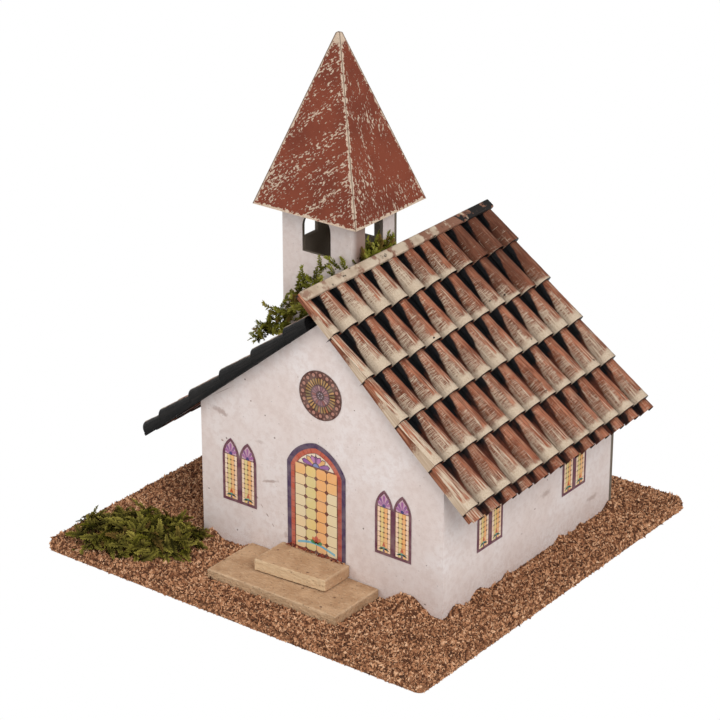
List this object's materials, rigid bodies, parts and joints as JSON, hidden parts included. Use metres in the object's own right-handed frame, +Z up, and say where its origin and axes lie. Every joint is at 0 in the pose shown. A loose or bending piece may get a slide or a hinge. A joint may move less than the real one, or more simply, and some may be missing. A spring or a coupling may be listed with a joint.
{
  "type": "model church",
  "caption": "Tabletop model church with card walls, moulded barrel-tile roof sheets, a bell tower with a pyramid spire, steps and a cork-strewn base with moss.",
  "frame": {"origin": "centre of the base board's underside", "axes": "+Z up, the door faces -Y, +X to the right seen from the door's side"},
  "size_m": [0.201, 0.202, 0.2238],
  "materials": {
    "hardboard": "raw",
    "cork": "granular",
    "fibreboard": "raw",
    "wall_card": "matte printed",
    "tile_sheet": "dry-brushed paint",
    "tower_card": "matte printed",
    "spire_card": "brushed paint",
    "print_paper": "matte printed",
    "moss": "dried fronds"
  },
  "bodies": {
    "root": {"base_board": "hardboard", "cork_ground_front": "cork", "cork_ground_back": "cork", "cork_ground_left": "cork", "cork_ground_right": "cork", "lower_step": "fibreboard", "upper_step": "fibreboard", "front_wall": "wall_card", "back_wall": "wall_card", "left_wall": "wall_card", "right_wall": "wall_card", "roof_sheet_right": "tile_sheet", "roof_sheet_left": "tile_sheet", "ridge_strip": "tile_sheet", "tower_front_wall": "tower_card", "tower_back_wall": "tower_card", "tower_left_wall": "tower_card", "tower_right_wall": "tower_card", "spire_front_card": "spire_card", "spire_back_card": "spire_card", "spire_left_card": "spire_card", "spire_right_card": "spire_card", "door_print": "print_paper", "rose_window_print": "print_paper", "window_print_front_left": "print_paper", "window_print_front_right": "print_paper", "window_print_right_front": "print_paper", "window_print_right_rear": "print_paper", "window_print_left_front": "print_paper", "window_print_left_rear": "print_paper", "window_print_back_left": "print_paper", "window_print_back_right": "print_paper", "moss_ground": "moss", "moss_tower_front": "moss", "moss_ridge": "moss"}
  },
  "joints": []
}
